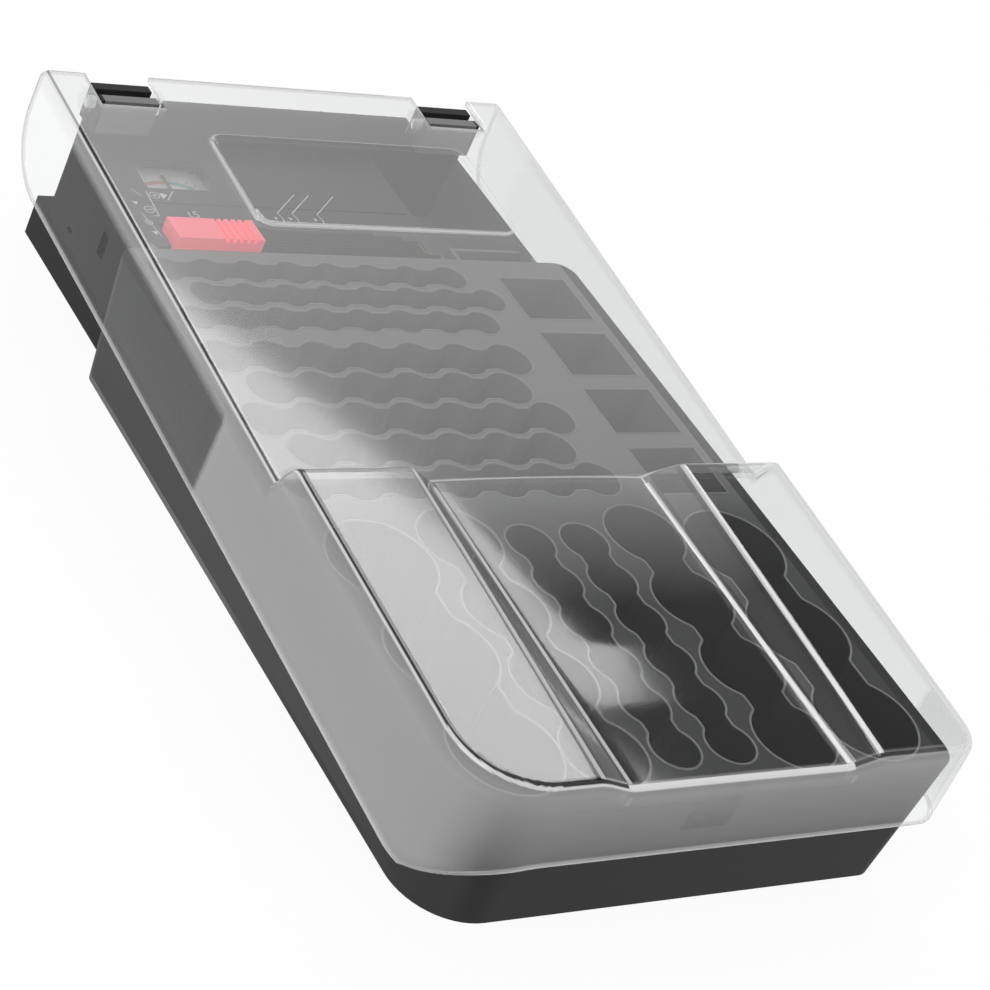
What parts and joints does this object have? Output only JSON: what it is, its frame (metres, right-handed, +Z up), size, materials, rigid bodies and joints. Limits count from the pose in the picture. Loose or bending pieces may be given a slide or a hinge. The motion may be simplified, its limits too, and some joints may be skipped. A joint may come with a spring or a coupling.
{
  "type": "battery storage case",
  "caption": "Black battery storage case with wells for several cell sizes, a lift-out slide-contact tester and a clear hinged lid.",
  "frame": {"origin": "middle of the footprint on the ground, in the base's symmetry plane", "axes": "+Y toward the hinge, +X to the right seen from the front, +Z up"},
  "size_m": [0.1841, 0.3219, 0.0658],
  "materials": {
    "tray_black": "matte",
    "lid_clear": "gloss",
    "tester_black": "satin",
    "screw_steel": "satin",
    "slider_red": "gloss",
    "contact_brass": "satin",
    "window_clear": "gloss",
    "dial_white": "satin",
    "coil_brass": "satin",
    "needle_black": "matte",
    "magnet_dark": "satin",
    "board_green": "satin",
    "resistor_tan": "satin"
  },
  "bodies": {
    "base": {"base_tray": "tray_black", "tester_top_shell": "tester_black", "tester_back_shell": "tester_black", "shell_screws": "screw_steel", "fixed_contact": "contact_brass", "bus_strip": "contact_brass", "nine_volt_contacts": "contact_brass", "meter_window": "window_clear", "meter_dial": "dial_white", "meter_magnet": "magnet_dark", "meter_frame": "screw_steel", "circuit_board": "board_green", "load_resistors": "resistor_tan", "board_screws": "screw_steel", "board_diode": "magnet_dark"},
    "lid": {"clear_lid": "lid_clear"},
    "slider": {"red_slider": "slider_red", "slider_contact": "contact_brass"},
    "needle": {"meter_armature": "coil_brass", "meter_needle": "needle_black"}
  },
  "joints": [
    {"name": "lid_hinge", "type": "hinge", "parent": "base", "child": "lid", "pos_m": [0, 0.1496, 0.0604], "axis": [-1, 0, 0], "range_deg": [0, 95]},
    {"name": "slider_travel", "type": "slide", "parent": "base", "child": "slider", "axis": [1, 0, 0], "range_m": [0, 0.036]},
    {"name": "needle_swing", "type": "hinge", "parent": "base", "child": "needle", "pos_m": [-0.049, 0.1152, 0.0422], "axis": [0, 0, 1], "range_deg": [-32, 32], "stiffness_Nm_per_rad": 0.0002}
  ]
}
